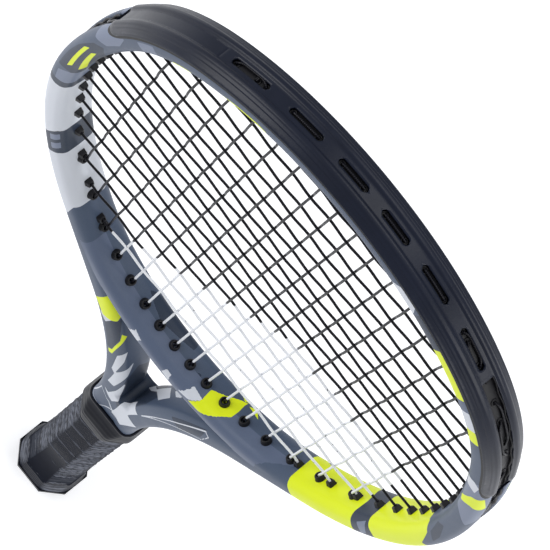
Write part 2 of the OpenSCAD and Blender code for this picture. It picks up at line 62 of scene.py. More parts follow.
def make_camera():
    """The photographer stands over the tip and looks down along the face."""
    data = bpy.data.cameras.new("camera")
    data.lens = LENS
    data.sensor_width = 36
    data.clip_end = 20
    camera = bpy.data.objects.new("camera", data)
    turn = Matrix.Rotation(CAMERA_TILT, 4, "X") @ Matrix.Rotation(CAMERA_ROLL, 4, "Z")
    camera.matrix_world = Matrix.Translation(CAMERA_PLACE) @ turn
    bpy.context.scene.collection.objects.link(camera)
    bpy.context.scene.camera = camera


make_camera()

# ---- sizes

HALF_TUBE = 6.5
HALF_BEAM = 11.5
ARM_EXTRA = 2.0
CHANNEL_DEPTH = 2.9
CHANNEL_HALF = 4.2
BUMPER_T = 1.2
BRIDGE_INSET = 0.15  # how much shallower the bridge is than the hoop
TIP_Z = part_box("bumper_guard")[1].z / MM - BUMPER_T - HALF_TUBE

BARREL_PROUD = 1.8
STRIP_HALF = 3.7
STRIP_X = HALF_TUBE - CHANNEL_DEPTH + 0.05
STRIP_TOP = STRIP_X + 1.0
STRING_R = 0.65
STRING_LIFT = STRIP_TOP + STRING_R + 0.35
TURN_PROUD = BARREL_PROUD + 0.45
MAIN_WEAVE, CROSS_WEAVE = 1.1, 0.3  # how far each string swings out of the plane
BOW = 1.75  # how far an outside run swings sideways

MAIN_X = [5.9 + 11.9 * k + 0.25 * k * (k - 1) for k in range(8)]
CROSS_Z = [376.5, 398, 418, 436.5, 453.5, 469, 483.5, 498, 512, 526,
           539, 552, 566, 580.5, 595.5, 610.5, 628, 643, 653.6]

# ---- the hoop's line


def direction(degrees):
    """The unit vector in X and Z at an angle clockwise from the tip."""
    a = np.radians(degrees)
    return np.stack([np.sin(a), np.cos(a)], axis=-1)


TIP_R, SHOULDER_R, SIDE_R, LOWER_R = 132.0, 103.0, 283.0, 216.0
TIP_END, SHOULDER_END, ARM_A = 40.0, 71.0, 127.0
ELBOW_R, SHAFT_X = 218.0, 9.4
ELBOW_TURN = 0.65  # the elbow's turn in radians, rounded up
BRIDGE_BURIED = 121  # the angle at which the bridge's ends stop, inside the hoop's tube
FACE_BOTTOM = 337.4
BUMPER_END = 75.0
STRIP_JOINT = BUMPER_END + 1.6

TIP_C = np.array([0, TIP_Z - TIP_R])
SHOULDER_C = TIP_C + (TIP_R - SHOULDER_R) * direction(TIP_END)
SIDE_C = SHOULDER_C + (SHOULDER_R - SIDE_R) * direction(SHOULDER_END)
LOWER_C = SIDE_C + (SIDE_R - LOWER_R) * direction(90)
FACE_DROP = LOWER_C[1] - FACE_BOTTOM
LOWER_INNER = LOWER_R - HALF_TUBE
BRIDGE_INNER = ((LOWER_INNER ** 2 - LOWER_C[0] ** 2 - FACE_DROP ** 2)
                / (2 * (LOWER_INNER - FACE_DROP)))
BRIDGE_R = BRIDGE_INNER + HALF_TUBE
BRIDGE_C = np.array([0, FACE_BOTTOM + BRIDGE_INNER])
BRIDGE_A = 90 + math.degrees(math.atan2(LOWER_C[1] - BRIDGE_C[1], -LOWER_C[0]))
ARM_START = LOWER_C + LOWER_R * direction(ARM_A)
ARM_DIR = direction(ARM_A + 90)
ARM_OUT = direction(ARM_A)
ELBOW_TOP_X = SHAFT_X + ELBOW_R * (1 - ARM_OUT[0])
ARM_LEN = (ELBOW_TOP_X - ARM_START[0]) / ARM_DIR[0]
ELBOW_C = ARM_START + ARM_LEN * ARM_DIR + ELBOW_R * ARM_OUT
SHAFT_END_Z = 184.0

HEAD_ARCS = [(TIP_C, TIP_R, 0, TIP_END), (SHOULDER_C, SHOULDER_R, TIP_END, SHOULDER_END),
             (SIDE_C, SIDE_R, SHOULDER_END, 90), (LOWER_C, LOWER_R, 90, ARM_A)]
FACE_ARCS = HEAD_ARCS[:3] + [(LOWER_C, LOWER_R, 90, BRIDGE_A),
                             (BRIDGE_C, BRIDGE_R, BRIDGE_A, 180)]


def distances(points):
    """How far along a row of points each one lies."""
    return np.concatenate([[0], np.cumsum(np.linalg.norm(np.diff(points, axis=0), axis=1))])


def units(vectors):
    """The same directions, each of length 1."""
    return vectors / np.linalg.norm(vectors, axis=1)[:, None]


class Line:
    """A line in the racket's plane: points, outward normals, and distances along it."""

    def __init__(self, points, normals):
        self.p, self.n = np.array(points), np.array(normals)
        self.s = distances(self.p)

    def mirrored(self):
        """The same line on the left, run backwards and joined to this one at the tip."""
        flip = np.array([-1, 1])
        left_p, left_n = (self.p * flip)[:0:-1], (self.n * flip)[:0:-1]
        whole = Line(np.concatenate([left_p, self.p]), np.concatenate([left_n, self.n]))
        whole.s = np.concatenate([-self.s[:0:-1], self.s])
        return whole

    def upto(self, low, high):
        """The stretch between two distances along the line."""
        keep = (self.s >= low) & (self.s <= high)
        part = Line(self.p[keep], self.n[keep])
        part.s = self.s[keep]
        return part


def steps_along(length, step):
    """Shares from 0 to 1, about one step apart on the given length."""
    return np.linspace(0, 1, max(2, int(length / step) + 1))


def arc_points(arc, step):
    """Points and outward normals on an arc of (centre, radius, first angle, last angle)."""
    centre, r, a0, a1 = arc
    n = direction(a0 + (a1 - a0) * steps_along(r * math.radians(abs(a1 - a0)), step))
    return centre + r * n, n


def chain(parts):
    """Joins stretches of line, leaving out each repeated first point."""
    p = [parts[0][0]] + [part[0][1:] for part in parts[1:]]
    n = [parts[0][1]] + [part[1][1:] for part in parts[1:]]
    return Line(np.concatenate(p), np.concatenate(n))


def hoop_line(step=2.0):
    """From the tip down the right side, the arm, the elbow and the shaft."""
    parts = [arc_points(arc, step) for arc in HEAD_ARCS]
    t = steps_along(ARM_LEN, step)[:, None]
    parts.append((ARM_START + t * ARM_LEN * ARM_DIR, np.repeat([ARM_OUT], len(t), axis=0)))
    turn = direction(np.linspace(ARM_A, 90, int(ELBOW_R * ELBOW_TURN / step)))
    parts.append((ELBOW_C - ELBOW_R * turn, turn))
    drop = steps_along(ELBOW_C[1] - SHAFT_END_Z, step)[:, None] * (ELBOW_C[1] - SHAFT_END_Z)
    shaft_top = np.array([SHAFT_X, ELBOW_C[1]])
    parts.append((shaft_top - drop * np.array([0, 1]), np.repeat([[1.0, 0.0]], len(drop), 0)))
    return chain(parts)


def bridge_line(step=2.0):
    """From the middle of the bridge up its right side and on inside the hoop."""
    return chain([arc_points((BRIDGE_C, BRIDGE_R, 180, BRIDGE_A), step),
                  arc_points((LOWER_C, LOWER_R, BRIDGE_A, BRIDGE_BURIED), step)])


def arcs_length(arcs):
    return sum(r * math.radians(a1 - a0) for _, r, a0, a1 in arcs)


HOOP = hoop_line().mirrored()
BRIDGE = bridge_line().mirrored()
ARM_S = arcs_length(HEAD_ARCS)
ELBOW_S = ARM_S + ARM_LEN
SHOULDER_S = arcs_length(HEAD_ARCS[:2])
BUMPER_S = SHOULDER_S + SIDE_R * math.radians(BUMPER_END - SHOULDER_END)
STRIP_JOINT_S = SHOULDER_S + SIDE_R * math.radians(STRIP_JOINT - SHOULDER_END)

# ---- mesh making


def face_outwards(mesh):
    """Turns every face of each closed solid outwards."""
    work = bmesh.new()
    work.from_mesh(mesh)
    bmesh.ops.recalc_face_normals(work, faces=work.faces)
    work.to_mesh(mesh)
    work.free()


def make_object(name, points, faces, smooth=True):
    """A mesh object from points in millimetres."""
    mesh = bpy.data.meshes.new(name)
    mesh.from_pydata((np.asarray(points, float) * MM).tolist(), [], faces)
    mesh.validate()
    face_outwards(mesh)
    mesh.polygons.foreach_set("use_smooth", [smooth] * len(mesh.polygons))
    mesh.update()
    obj = bpy.data.objects.new(name, mesh)
    bpy.context.scene.collection.objects.link(obj)
    return obj


def tube_faces(rings, sides, first, closed):
    """Quads between rings of `sides` points each, with a cap at each end unless it is closed."""
    k = np.arange(sides)
    faces = []
    for r in range(rings if closed else rings - 1):
        a, b = first + r * sides, first + (r + 1) % rings * sides
        nxt = (k + 1) % sides
        faces += np.stack([a + k, a + nxt, b + nxt, b + k], axis=1).tolist()
    if not closed:
        faces.append([first + int(i) for i in k[::-1]])
        faces.append([first + (rings - 1) * sides + int(i) for i in k])
    return faces


class Build:
    """Gathers rings and other solids into one mesh."""

    def __init__(self):
        self.points, self.faces, self.count = [], [], 0

    def rings(self, rings, closed=False):
        rings = np.asarray(rings, float)
        n, m = rings.shape[:2]
        self.faces += tube_faces(n, m, self.count, closed)
        self.points.append(rings.reshape(-1, 3))
        self.count += n * m

    def object(self, name):
        return make_object(name, np.concatenate(self.points), self.faces)


def swept(line, section):
    """Rings along a line. section(s) gives the (outward, depth) points at distance s."""
    rings = []
    for p, n, s in zip(line.p, line.n, line.s):
        o = np.asarray(section(s))
        rings.append(np.stack([p[0] + o[:, 0] * n[0], o[:, 1], p[1] + o[:, 0] * n[1]], axis=1))
    return rings


def real_mesh(obj):
    """Replaces an object's mesh by the one its modifiers make."""
    graph = bpy.context.evaluated_depsgraph_get()
    mesh = bpy.data.meshes.new_from_object(obj.evaluated_get(graph))
    obj.modifiers.clear()
    obj.data = mesh
    mesh.polygons.foreach_set("use_smooth", [True] * len(mesh.polygons))
    return obj


def store(obj, name, values):
    """Keeps one number for each vertex, for a material to read."""
    stored = obj.data.attributes.new(name, "FLOAT", "POINT")
    stored.data.foreach_set("value", np.asarray(values, np.float32))


def voxel_union(obj, voxel, smoothing):
    """Makes one skin of overlapping solids, and eases it."""
    remesh = obj.modifiers.new("union", "REMESH")
    remesh.mode = "VOXEL"
    remesh.voxel_size = voxel * MM
    ease = obj.modifiers.new("ease", "SMOOTH")
    ease.factor = 0.5
    ease.iterations = smoothing
    return real_mesh(obj)


def cut(obj, cutter):
    """Takes the cutter's volume out of an object."""
    boolean = obj.modifiers.new("cut", "BOOLEAN")
    boolean.operation = "DIFFERENCE"
    boolean.solver = "EXACT"
    boolean.use_self = True
    boolean.object = cutter
    real_mesh(obj)
    bpy.data.objects.remove(cutter)
    return obj


# ---- painted frame

# The tube's section is an oval cut flat on its inner and outer sides, so that a crease
# runs along each edge of the inner face.
OVAL_POWER = 3.1
OVAL_OVERSIZE = 1.08


def angles(count):
    """Evenly spaced angles all the way round."""
    return np.linspace(0, 2 * np.pi, count, endpoint=False)


def squared(wave, power):
    """A sine or cosine flattened towards its ends, as on a superellipse."""
    return np.sign(wave) * np.abs(wave) ** power


def oval(half_depth):
    """Points around the tube's section."""
    t = angles(64)
    bulge = squared(np.cos(t), 2 / OVAL_POWER) * HALF_TUBE * OVAL_OVERSIZE
    return np.stack([np.clip(bulge, -HALF_TUBE, HALF_TUBE),
                     squared(np.sin(t), 2 / OVAL_POWER) * half_depth], axis=1)


def smoothstep(x, low, high):
    """Rises smoothly from 0 at low to 1 at high."""
    t = np.clip((x - low) / (high - low), 0, 1)
    return t * t * (3 - 2 * t)


CHANNEL_WALL = 0.25  # how far each wall of the channel leans
CHANNEL_END_S = ELBOW_S + ELBOW_R * math.radians(7)
BRIDGE_CHANNEL_S = BRIDGE_R * math.radians(21)


def channelled(points, depth):
    """Sinks the middle of the outer side into a channel."""
    out, edge = points[:, 0], np.abs(points[:, 1])
    share = np.clip((CHANNEL_HALF - edge) / CHANNEL_WALL, 0, 1)
    sunk = np.where(out > 0, out * (1 - share) + (out.max() - depth) * share, out)
    return np.stack([sunk, points[:, 1]], axis=1)


def dense_outer(points):
    """Adds points on the outer side, where the channel's walls need them."""
    reach, gap = 7, 0.2
    rows = []
    for a, b in zip(points, np.roll(points, -1, axis=0)):
        rows.append(a)
        if a[0] > 0 and b[0] > 0 and abs(a[1]) < reach and abs(b[1]) < reach:
            parts = max(1, int(np.linalg.norm(b - a) / gap))
            rows += [a + (b - a) * k / parts for k in range(1, parts)]
    return np.array(rows)


def channel_depth(s, end_s, run_out):
    return CHANNEL_DEPTH * (1 - smoothstep(abs(s), end_s - run_out, end_s))


def hoop_section(s):
    """The hairpin's section: its arms are thicker inwards, and its channel ends at the elbow."""
    extra = ARM_EXTRA * smoothstep(abs(s), ARM_S + 20, ELBOW_S + 25)
    ring = dense_outer(oval(HALF_BEAM))
    ring[:, 0] = np.where(ring[:, 0] < 0, ring[:, 0] * (1 + extra / HALF_TUBE), ring[:, 0])
    return channelled(ring, channel_depth(s, CHANNEL_END_S, 3))


def bridge_section(s):
    ring = dense_outer(oval(HALF_BEAM - BRIDGE_INSET))
    return channelled(ring, channel_depth(s, BRIDGE_CHANNEL_S, 2))


CROTCH_Z = 236.0
CROTCH_R = 8.0
CROTCH_HALF_DEPTH = 11.0
CROTCH_SIDE = [(8, SHAFT_END_Z), (10, 212), (12.5, CROTCH_Z)]
SKIN_VOXEL = 0.62
SKIN_SMOOTHING = 4


def crotch_outline():
    """The web between the arms: its sides lie inside the tubes, its top is a round hollow."""
    middle = CROTCH_Z + 2.4
    sweep = np.radians(np.linspace(205, 335, 15))
    hollow = np.stack([CROTCH_R * np.cos(sweep), middle + CROTCH_R * np.sin(sweep)], axis=1)
    return [(-x, z) for x, z in CROTCH_SIDE] + hollow.tolist() + CROTCH_SIDE[::-1]


def painted_frame():
    """The hairpin, the bridge and the web between the arms, under one skin of paint."""
    build = Build()
    build.rings(swept(HOOP, hoop_section))
    build.rings(swept(BRIDGE, bridge_section))
    build.rings([[(x, y, z) for x, z in crotch_outline()]
                 for y in (-CROTCH_HALF_DEPTH, CROTCH_HALF_DEPTH)])
    return voxel_union(build.object("painted_frame"), SKIN_VOXEL, SKIN_SMOOTHING)


# ---- paint


def nearest(line, flat):
    """For points in X and Z: their distance along a line, and how far outside it they are."""
    tree = KDTree(len(line.p))
    for i, (x, z) in enumerate(line.p):
        tree.insert((x, 0, z), i)
    tree.balance()
    index = np.array([tree.find((x, 0, z))[1] for x, z in flat])
    away = flat - line.p[index]
    n = line.n[index]
    tangent = np.stack([n[:, 1], -n[:, 0]], axis=1)
    out = (away * n).sum(axis=1)
    return line.s[index] + (away * tangent).sum(axis=1), out, np.linalg.norm(away, axis=1)


GIRTH = 14.5  # a quarter of the way round the tube


def paint_places(points):
    """Where each point lies on the frame: its part, and places along and around it.

    Along is the distance from the tip on the left or right of the hoop, or from the middle of
    the bridge, positive to the right. Around is 0 on the middle of a face, GIRTH on the inner
    side of the tube and -GIRTH on the outer side. It is the same on the front and the back for
    a shape on "both", and carries on past the inner side onto the back for one on the "front".
    """
    flat, depth = points[:, [0, 2]], points[:, 1]
    hoop_s, hoop_o, hoop_d = nearest(hoop_line(0.5).mirrored(), flat)
    bridge_s, bridge_o, bridge_d = nearest(bridge_line(0.5).mirrored(), flat)
    on_bridge = bridge_d < hoop_d - 0.2
    part = np.where(on_bridge, "bridge", np.where(hoop_s > 0, "right", "left"))
    along = np.where(on_bridge, bridge_s, np.abs(hoop_s))
    out = np.where(on_bridge, bridge_o, hoop_o)
    wrapped = np.degrees(np.arctan2(-out * HALF_BEAM / HALF_TUBE, np.abs(depth))) / 90 * GIRTH
    unrolled = np.where(depth <= 0, wrapped, np.sign(-out) * 2 * GIRTH - wrapped)
    return part, along, {"both": wrapped, "front": unrolled}


def polygon_depth(x, y, corners):
    """How far inside a polygon each point is, negative outside it."""
    corners = np.array(corners, float)
    best = np.full(len(x), 1e9)
    inside = np.zeros(len(x), bool)
    for (ax, ay), (bx, by) in zip(corners, np.roll(corners, -1, axis=0)):
        ex, ey = bx - ax, by - ay
        t = np.clip(((x - ax) * ex + (y - ay) * ey) / (ex * ex + ey * ey), 0, 1)
        best = np.minimum(best, np.hypot(x - ax - t * ex, y - ay - t * ey))
        crosses = (ay > y) != (by > y)
        with np.errstate(divide="ignore", invalid="ignore"):
            hit = x < (bx - ax) * (y - ay) / (by - ay) + ax
        inside ^= crosses & hit
    return np.where(inside, best, -best)


# One layer is a near-black line along the edge of the bumper's wing: painted shadow where the wing
# stands over the frame.
LAYERS = ("dark", "pale", "light", "white", "lime", "groove")
LINE_HALF = {"white": 0.35, "groove": 0.9}  # half the width of an outline in each layer
MARGIN = 3.0  # how far beyond a patch its depth is worked out
FAR_OUTSIDE = -50.0


def band(s0, s1, a0=-3, a1=16):
    """A patch straight across the tube between two distances along it."""
    return [(s0, a0), (s1, a0), (s1, a1), (s0, a1)]


def wing_end(share_left):
    """How much of its reach the bumper's wing keeps, near its rounded end."""
    return math.sqrt(max(0.0, 1 - (1 - min(1.0, share_left)) ** 2))


END_ROUND = 17.0  # the length of the bumper's rounded end
WING_AROUND = -4.1
WING_ROOT = 0.24  # the share of the wing's reach that is left at its very end


def wing_outline():
    """The bumper's wing on one side, as a patch of the hoop."""
    edge = []
    for q in np.linspace(0, 1, 12):
        reach = WING_ROOT + (1 - WING_ROOT) * wing_end(q)
        edge.append((BUMPER_S - END_ROUND * q, -GIRTH + (WING_AROUND + GIRTH) * reach))
    return edge + [(-4, WING_AROUND), (-4, -GIRTH - 1), (BUMPER_S, -GIRTH - 1)]


# The paint's patches, by their part, the face that they are on and their layer. Each is a list of
# corners (along, around). One on a "line" is only the outline of its shape, on both faces.
# Most patches are the paint's own design; the dark patch added to each arm below darkens the crotch as
# painted shade, and the line along the bumper's wing is painted shadow.
PATCHES = {
    ("left", "both", "dark"): [
        [(240, -5), (219, -5.6), (203, -5.4), (184, -3), (177, 2), (188, 8.5), (215, 12), (240, 11),
         (236, 4)],
        [(256, -14.5), (256, -2), (252, 8), (250, 16), (264, 16), (259, 8), (262, 0), (262, -14.5)],
        [(322, -15), (318, -3), (311, 6), (312, 16), (333, 16), (332, 6), (335, -2), (338, -15)]],
    ("left", "both", "light"): [
        [(148, -9), (176, -14), (180, -6), (172, 1), (158, 2), (150, -2)],
        [(137, -2), (137, 8), (124, 8), (124, -2)],
        [(256, -2), (245, -3), (238, 3), (233, 8.5), (234, 12.5), (250, 16), (252, 8), (255, 1)],
        [(318, 0), (323, 0), (319, 7), (314, 7)],
        [(326, 0), (331, 0), (327, 7), (322, 7)]],
    ("left", "both", "white"): [
        [(262, -15), (262, 0), (259, 8), (264, 16), (312, 16), (311, 6), (318, -3), (322, -15)],
        [(338, -15), (335, -2), (332, 6), (333, 16), (378, 16), (377, 6), (384, -1.5), (388, -15)]],
    ("left", "both", "lime"): [
        [(78, 4), (70, 2.4), (56, 1.8), (51, 3), (51, 9), (78, 9)],
        band(99, 112, 3.6, 9),
        [(192, -1), (197, -3), (232, 0), (227, 2.5)],
        [(190, 4), (195, 2.5), (228, 6.5), (223, 9)]],
    ("left", "front", "dark"): [
        [(284, 15.5), (330, 15.5), (335, 24), (282, 24)],
        [(467, -1), (463, 10.6), (481, 8.3), (495, 2), (495, -3)]],
    ("left", "front", "white"): [
        [(457, -1), (454, 6), (458, 8.5), (464, 6), (469, 0), (463, -3)],
        [(518, 1), (498, 6), (494, 10.5), (504, 9), (522, 3.8)],
        [(539, -1), (520, 4.2), (510, 12.4), (522, 10.4), (539, 5)],
        [(550, -3), (554, 2.6), (544, 6.7), (531, 10), (552, 9.3), (562, 7)]],
    ("left", "front", "lime"): [
        [(450, -4), (443, 9), (455, 14), (464, 9), (463, -1)],
        [(476, 9.5), (479.5, 11), (485, 8.8), (500, 1.7), (501, -2), (497, -2), (495, 2), (482, 8.4)]],
    ("left", "line", "white"): [
        [(556, -4), (566, 6), (572, 9), (584, 3), (580, -8)]],
    ("right", "both", "dark"): [
        band(47, 65),
        [(252, -4), (240, -3), (225, 2), (230, 6), (245, 3)],
        [(340, -15), (337, -1), (333, 10), (332, 16), (317, 16), (317, 12), (318, -1), (321, -15)]],
    ("right", "both", "pale"): [
        band(92, 99)],
    ("right", "both", "light"): [
        [(205, -6), (190, 6), (160, 6), (150, -8), (170, -12), (195, -12)],
        [(329, 5), (320, 7), (325, -3), (331, -5)]],
    ("right", "both", "white"): [
        [(30, 3), (33, -3), (43.5, -3), (46, 2), (46, 16), (30, 16)],
        band(99, 111),
        [(161, 6), (164, -2), (157, -4), (154, 0), (154, 6)]],
    ("right", "both", "lime"): [
        band(65, 92),
        band(111, 120),
        [(183, 5), (180, -2.5), (182, -10), (168, -8), (170, -1), (178, 6)],
        [(321, -15), (318, -1), (317, 12), (317, 16), (258, 16), (245, 8), (250, 3), (265, -3),
         (268, -15)],
        [(391, -15), (390, 3), (390, 16), (332, 16), (333, 10), (337, -1), (340, -15)]],
    ("right", "front", "dark"): [
        [(493, 7.7), (458, 8.5), (467, 1.3), (489, -0.9)]],
    ("right", "front", "white"): [
        [(511, 17.1), (505, 17.5), (497.6, 15.1), (503.6, 14.8)],
        [(535, 17), (519, 18), (508, 13.9), (517, 12.1)],
        [(553, 18.3), (545, 19), (529, 15.7), (541, 16.3)],
        [(541, 11), (538, 5), (554, 5.6), (555, -5), (576, 2), (575, 10)]],
    ("right", "line", "white"): [
        [(533, 4.4), (508, 4.3), (485, 5.3), (459, 7.6), (457, 5), (468, -1.5)]],
    ("bridge", "both", "lime"): [
        band(96, 125, -15, 16)],
    ("bridge", "front", "dark"): [
        [(-38, 19), (-27.6, 24), (0, 26), (2, 19), (-21.5, 16)],
        [(-12, 0), (-5, 9.5), (14, 15.4), (24, 10), (11.6, 3.2), (-1, -2)]],
    ("bridge", "front", "pale"): [
        [(-83, -6), (-83, 14.5), (95, 14.5), (94.6, 13.4), (84, 10.6), (76, 8), (70, 3.6), (66, -6)]],
    ("bridge", "front", "white"): [
        [(-25, 6), (-19, 4), (-19, -6), (-27, -6)],
        [(-1, 0), (1, 6.7), (4.5, 6.3), (5, -2)],
        [(11.7, 0.8), (17, 10.4), (25, 9.4), (19, 3.5)]],
    ("bridge", "front", "lime"): [
        [(19, 2.6), (25, 9.4), (23.4, 14.1), (37, 19), (42, 20.8), (42.6, 16), (42.4, 12.3),
         (26.4, 2.6)],
        [(32, 23.6), (40, 20.4), (44, 22)],
        [(44, 20), (54, 18.6), (47, 21.6)]],
}
for part in ("left", "right"):
    # Painted shade: the crotch between the arms, darkened where the arms meet.
    PATCHES[part, "both", "dark"].append([(516, 16), (526, 10), (552, 8), (566, 10), (572, 16)])
    # Along the edge of the bumper's wing, a near-black line of painted shadow.
    PATCHES[part, "line", "groove"] = [wing_outline()]


def set_paint(obj):
    """Stores, for each paint layer, how far inside its patches every vertex lies."""
    count = len(obj.data.vertices)
    co = np.zeros(count * 3)
    obj.data.vertices.foreach_get("co", co)
    part, along, around = paint_places(co.reshape(-1, 3) / MM)
    around["line"] = around["both"]
    depths = {layer: np.full(count, FAR_OUTSIDE) for layer in LAYERS}
    every = [(*key, corners) for key, patches in PATCHES.items() for corners in patches]
    for where, face, layer, corners in every:
        ends = [s for s, _ in corners]
        near = (along > min(ends) - MARGIN) & (along < max(ends) + MARGIN)
        mine = np.flatnonzero((part == where) & near)
        inside = polygon_depth(along[mine], around[face][mine], corners)
        if face == "line":
            inside = LINE_HALF[layer] - np.abs(inside)
        depths[layer][mine] = np.maximum(depths[layer][mine], inside)
    for layer, values in depths.items():
        store(obj, "paint_" + layer, values)


# ---- bumper guard

WING_IN = 3.8
CHANNEL_FLOOR = 6.75
SLOT_HALF, OPEN_HALF = 1.7, 3.4  # half the width of a slot, and of the open channel
CUT_LOW, CUT_HIGH = 4.9, 9.0  # how far out the cutters reach


def bumper_outside():
    """The guard's outer outline from the front wing's edge to the back wing's edge."""
    top, deep = HALF_TUBE + BUMPER_T, HALF_BEAM
    half = [(CHANNEL_FLOOR, 0.0), (CHANNEL_FLOOR, 1.3), (CHANNEL_FLOOR, 2.6), (CHANNEL_FLOOR, 3.5),
            (CHANNEL_FLOOR + 0.12, 3.9), (top - 0.25, 4.35), (top, 4.8), (top, 5.6),
            (top - 0.18, 6.4), (top - 0.32, 6.9), (top - 0.72, 7.15), (top - 0.95, 7.7),
            (top - 1.25, 8.4), (top - 1.3, 8.5), (top - 1.85, 8.75), (top - 1.9, 8.85),
            (top - 2.2, 9.7), (WING_IN + 0.85, deep - 0.6), (WING_IN + 0.8, deep - 0.5),
            (WING_IN + 0.1, deep - 0.05), (WING_IN, deep - 0.02), (WING_IN - 0.15, deep - 0.4)]
    back = np.array(half)
    front = back[:0:-1] * [1, -1]
    return np.concatenate([front, back])


def bumper_inside(outside, thickness):
    """The same outline moved inwards."""
    step = np.gradient(outside, axis=0)
    return outside - units(np.stack([step[:, 1], -step[:, 0]], axis=1)) * thickness


OUTSIDE = bumper_outside()
INSIDE = bumper_inside(OUTSIDE, BUMPER_T - 0.1)


def outline_at(outline, share):
    """An outline's points, with each wing drawn in to a share of its length."""
    t = distances(outline)
    t = t / t[-1] * 2 - 1
    core = 0.22  # the share of the outline that never moves
    reach = np.where(np.abs(t) > core, core + (np.abs(t) - core) * share, np.abs(t)) * np.sign(t)
    return np.stack([np.interp(reach, t, outline[:, k]) for k in (0, 1)], axis=1)


def bumper_section(s):
    """The guard's closed section, with wings and thickness running out at its ends."""
    left = max(0.0, BUMPER_S - abs(s))
    share = 0.02 + 0.98 * wing_end(left / END_ROUND)
    outer = outline_at(OUTSIDE, share)
    inner = outline_at(INSIDE, share)
    thin = min(1.0, 0.25 + left / 6)
    return np.concatenate([inner + (outer - inner) * thin, inner[::-1]])


def loop_span(k):
    """The angles on the tip arc where the outside run between two main strings lies."""
    return [math.degrees(math.asin(MAIN_X[i] / (TIP_R - HALF_TUBE - BARREL_PROUD)))
            for i in (k, k + 1)]


def cut_corners(half_width):
    """A cutter's section: (outward, depth) points from below the guard to above it."""
    low, high = CUT_LOW, CUT_HIGH
    return [(low, -half_width), (low, half_width), (high, half_width), (high, -half_width)]


def cut_slot(cutter, a0, a1):
    """Adds a slot with round ends through the guard, between two angles on the tip arc."""
    mid_r = TIP_R + HALF_TUBE
    margin = math.degrees((SLOT_HALF + 0.3) / mid_r)
    rings = []
    for share in np.linspace(-1, 1, 25):
        a = (a0 + a1) / 2 + ((a1 - a0) / 2 + margin) * share
        to_end = ((a1 - a0) / 2 + margin) * (1 - abs(share)) * math.radians(1) * mid_r
        w = SLOT_HALF * math.sqrt(max(0.02, 1 - max(0.0, 1 - to_end / SLOT_HALF) ** 2))
        corners = [(TIP_C + (TIP_R + o) * direction(a), y) for o, y in cut_corners(w)]
        rings.append([(x, y, z) for (x, z), y in corners])
    cutter.rings(rings)


def moulded_bumper():
    """The guard, with three slots each side over the strings and an open channel beyond them."""
    line = hoop_line(1.6).mirrored()
    build = Build()
    build.rings(swept(line.upto(-BUMPER_S, BUMPER_S), bumper_section))
    cutter = Build()
    for k in (0, 2, 4):
        a0, a1 = loop_span(k)
        cut_slot(cutter, a0, a1)
        cut_slot(cutter, -a1, -a0)
    open_s = TIP_R * math.radians(loop_span(4)[1] + 3)
    for low, high in ((open_s, BUMPER_S + 2), (-BUMPER_S - 2, -open_s)):
        cutter.rings(swept(line.upto(low, high), lambda s: cut_corners(OPEN_HALF)))
    return cut(build.object("moulded_bumper"), cutter.object("bumper_slots"))


# ---- string holes


class Hole:
    """A grommet's hole: its mouth on the inside of the hoop, its angle, its way out."""

    def __init__(self, arc, angle, side):
        self.a, self.side = angle, side
        self.mouth = arc[0] + (arc[1] - HALF_TUBE) * direction(angle)
        self.dir = direction(angle)
        self.through_arm = angle > ARM_A and self.mouth[0] > 40
        self.in_bridge = angle > ARM_A and not self.through_arm
        self.on_side = angle > STRIP_JOINT and not self.in_bridge

    def run(self, lift):
        """The distance from the mouth to a surface that is `lift` outside the centre line."""
        if self.through_arm:
            return (lift - (self.mouth - ARM_START) @ ARM_OUT) / (self.dir @ ARM_OUT)
        return HALF_TUBE + lift

    def at(self, run):
        x, z = self.mouth + run * self.dir
        return np.array([self.side * x, 0.0, z])

    def passage(self):
        """The string's way in through the hole, to where it turns into the face."""
        return [self.at(self.run(STRING_LIFT)), self.at(-TURN_PROUD)]


def find_hole(kind, value, side):
    """The hole of a main string (its X, upper or lower) or of a cross string (its Z)."""
    for arc in FACE_ARCS:
        turn_r = arc[1] - HALF_TUBE - TURN_PROUD
        share = (value - arc[0][1 if kind == "cross" else 0]) / turn_r
        if abs(share) > 1:
            continue
        a = math.degrees(math.acos(share) if kind == "cross" else math.asin(share))
        a = 180 - a if kind == "lower" else a
        if arc[2] <= a < arc[3]:
            return Hole(arc, a, side)
    raise ValueError(f"no hole for the {kind} string at {value}")


TOPS, BOTTOMS, CROSSES = [
    {side: [find_hole(kind, value, side) for value in values] for side in (-1, 1)}
    for kind, values in (("upper", MAIN_X), ("lower", MAIN_X), ("cross", CROSS_Z))]

# ---- grommets


def square_ring(hole, run, half, rounding):
    """A ring around a hole: from square at rounding 0 to round at 1."""
    count = 24
    t = angles(count) + np.pi / count
    power = 2 / (2 + 6 * (1 - rounding))
    u, v = squared(np.cos(t), power) * half, squared(np.sin(t), power) * half
    across = np.array([hole.dir[1] * hole.side, 0, -hole.dir[0]])
    return hole.at(run) + u[:, None] * across + v[:, None] * np.array([0, 1, 0])


def rings_around(hole, profile, rounding=1.0):
    """Rings for a profile of (run, half width)."""
    return [square_ring(hole, run, half, rounding) for run, half in profile]


def barrel(build, hole, cup):
    """A grommet barrel: a wide round cup, or a tapered square spout."""
    tip, wide, narrow = (-2.5, 2.75, 2.45) if cup else (-2.6, 2.0, 1.65)
    bore = 1.55 if cup else 1.0
    rounding = 1.0 if cup else 0.15
    outside = [(1.0, wide * 0.6), (0.4, wide * 1.08), (-0.25, wide * 1.06), (-0.5, wide),
               (tip * 0.6, (wide + narrow) / 2), (tip + 0.25, narrow), (tip, narrow - 0.22)]
    inside = [(tip, bore + 0.25), (tip + 0.2, bore), (tip * 0.45, bore * 0.92), (1.0, 0.85)]
    build.rings(rings_around(hole, outside, rounding) + rings_around(hole, inside), closed=True)


